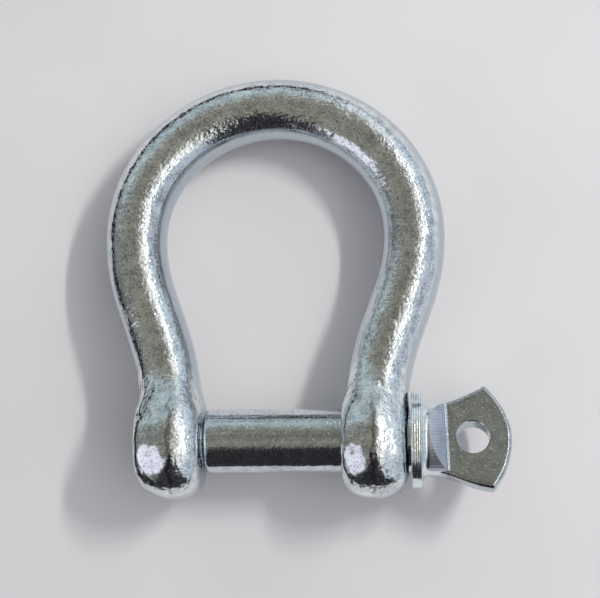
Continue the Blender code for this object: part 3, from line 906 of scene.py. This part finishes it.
# Name, place, size along and across, radiance, colour, and whether the metal mirrors it
LAMPS = (
    ("sun", (0.43, 0.25, 0.50), (0.20, 0.025), 131.0, (1.0, 0.98, 0.95), False),
    ("window_right", (0.40, 0.08, 0.50), (0.74, 0.015), 9.0, (1.0, 0.97, 0.93), True),
    ("ceiling", (0.0, 0.0, 1.2), (1.6, 1.6), 0.35, (0.68, 0.72, 1.0), False),
)

# The camera, fitted to the photograph's outlines
IMAGE_WIDTH = 600
FOCAL_PIXELS = 1494.84
SENSOR_WIDTH = 36.0
CLIP = (0.01, 20.0)
CAMERA_PLACE = Vector((28.86, -1.08, 280.22))  # millimetres from the middle of the pin's axis
CAMERA_TURN = (0.0988, 0.0838, -0.0122)  # radians about X, Y and Z


def disc(name, inner, outer, material, filled=False):
    bm = bmesh.new()
    rims = []
    for radius in (inner, outer):
        rim = []
        for i in range(DISC_SIDES):
            angle = 2 * math.pi * i / DISC_SIDES
            x = SHEET_MIDDLE[0] + radius * math.cos(angle)
            y = SHEET_MIDDLE[1] + radius * math.sin(angle)
            rim.append(bm.verts.new((x, y, 0.0)))
        rims.append(rim)
    for i in range(DISC_SIDES):
        j = (i + 1) % DISC_SIDES
        bm.faces.new((rims[0][i], rims[1][i], rims[1][j], rims[0][j]))
    if filled:
        bm.faces.new(rims[0])
    obj = new_object(name, mesh_from(bm, name))
    obj.data.materials.append(material)
    return obj


def stage():
    """The sheet under the shackle, and the same floor further out, which the metal doesn't mirror."""
    white = paper()
    disc("sheet", SHEET_CORE, SHEET_RADIUS, white, filled=True)
    floor = disc("floor", SHEET_RADIUS, FLOOR_RADIUS, white)
    floor.visible_glossy = False


def studio_world():
    """Pale for the camera; for the metal a room, bright at the back and right and dark at the front."""
    world = bpy.data.worlds.new("studio")
    bpy.context.scene.world = world
    world.use_nodes = True
    nodes = Nodes(world.node_tree)
    direction = nodes.add("TexCoord").outputs["Generated"]
    x, y, z = nodes.axes(direction)
    rise = nodes.remap(z, (-1.0, 1.0), (0.0, 1.0))
    bright_side = nodes.ramp(rise, BRIGHT_SIDE)
    dim_side = nodes.ramp(rise, DIM_SIDE)
    sky = nodes.mix(nodes.fade(y, BACK_REACH), dim_side, bright_side)
    low_right = nodes.minus(x, nodes.times(z, LOW_RIGHT_SLOPE))
    sky = nodes.mix(nodes.fade(low_right, LOW_RIGHT_REACH), sky, LOW_RIGHT_COLOUR)
    clutter = nodes.remap(nodes.noise(direction, *CLUTTER_NOISE), NOISE_MIDDLE, CLUTTER_GAIN)
    room = nodes.mix(1.0, sky, nodes.grey(clutter), "MULTIPLY")

    # Towards the right, at the slope of the window, everything is brighter, and cooler lower down.
    lean = nodes.minus(x, nodes.times(z, WINDOW_SLOPE))
    glow = nodes.times(nodes.fade(lean, GLOW_ABOVE), nodes.fade(lean, GLOW_BELOW, 1.0, 0.0))
    glow = nodes.times(glow, nodes.fade(x, GLOW_SIDE))
    tint = nodes.mix(nodes.remap(lean, GLOW_TINT_REACH, (0.0, 1.0)), GLOW_WARM, GLOW_COOL)
    room = nodes.mix(glow, room, tint)

    frontward = nodes.minus(nodes.times(y, -1.0), nodes.size(x))
    room = nodes.mix(nodes.fade(frontward, FRONT_REACH), room, FRONT_COLOUR)

    # A pale window low at the front left: how far a direction lies beside its middle, and how high.
    beside = nodes.minus(nodes.times(x, PANE_ACROSS[0]), nodes.times(y, PANE_ACROSS[1]))
    inside = nodes.fade(nodes.size(beside), PANE_HALF, 1.0, 0.0)
    inside = nodes.times(inside, nodes.fade(z, PANE_BOTTOM))
    inside = nodes.times(inside, nodes.fade(z, PANE_TOP, 1.0, 0.0))
    inside = nodes.times(inside, nodes.fade(x, PANE_LEFT_OF))
    room = nodes.mix(inside, room, PANE_COLOUR)

    seen = nodes.add("LightPath").outputs["Is Camera Ray"]
    background = nodes.add("Background", Color=nodes.mix(seen, room, BACKDROP), Strength=1.0)
    output = nodes.add("OutputWorld")
    nodes.tree.links.new(background.outputs[0], output.inputs["Surface"])


def panel(name, where, size, radiance, colour, mirrored):
    """A soft light, long along Y, that faces the shackle; radiance is what it looks like in a mirror."""
    light = bpy.data.lights.new(name, "AREA")
    light.shape = "RECTANGLE"
    light.size, light.size_y = size
    light.energy = radiance * math.pi * size[0] * size[1]
    light.color = colour
    obj = new_object(name, light)
    back = Vector(where).normalized()
    along = Vector((0.0, 1.0, 0.0))
    along = (along - back * along.dot(back)).normalized()
    turn = Matrix((along, back.cross(along), back)).transposed()
    obj.matrix_world = Matrix.Translation(where) @ turn.to_4x4()
    obj.visible_glossy = mirrored


def camera():
    data = bpy.data.cameras.new("camera")
    data.sensor_fit = "HORIZONTAL"
    data.sensor_width = SENSOR_WIDTH
    data.lens = FOCAL_PIXELS / IMAGE_WIDTH * data.sensor_width
    data.clip_start, data.clip_end = CLIP
    obj = new_object("camera", data)
    obj.location = (PIN_AXIS + CAMERA_PLACE) * MM
    turn = Matrix.Identity(3)
    for angle, axis in zip(CAMERA_TURN, "XYZ"):
        turn = turn @ Matrix.Rotation(angle, 3, axis)
    obj.rotation_euler = turn.to_euler()
    bpy.context.scene.camera = obj


def main():
    bpy.context.scene.view_settings.view_transform = "Standard"
    camera()
    stage()
    studio_world()
    for lamp in LAMPS:
        panel(*lamp)
    for piece, turn, sharp, body, slot, material in (
        (forged_bow(), LEAN, BOW_SHARP, "bow", "forged_zinc", forged_zinc()),
        (screw_pin(), WING_TURN, PIN_SHARP, "pin", "rolled_zinc", rolled_zinc()),
    ):
        piece = place(piece, turn, sharp)
        piece.data.materials.clear()
        piece.data.materials.append(material)
        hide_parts(body)
        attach(piece, body)


main()
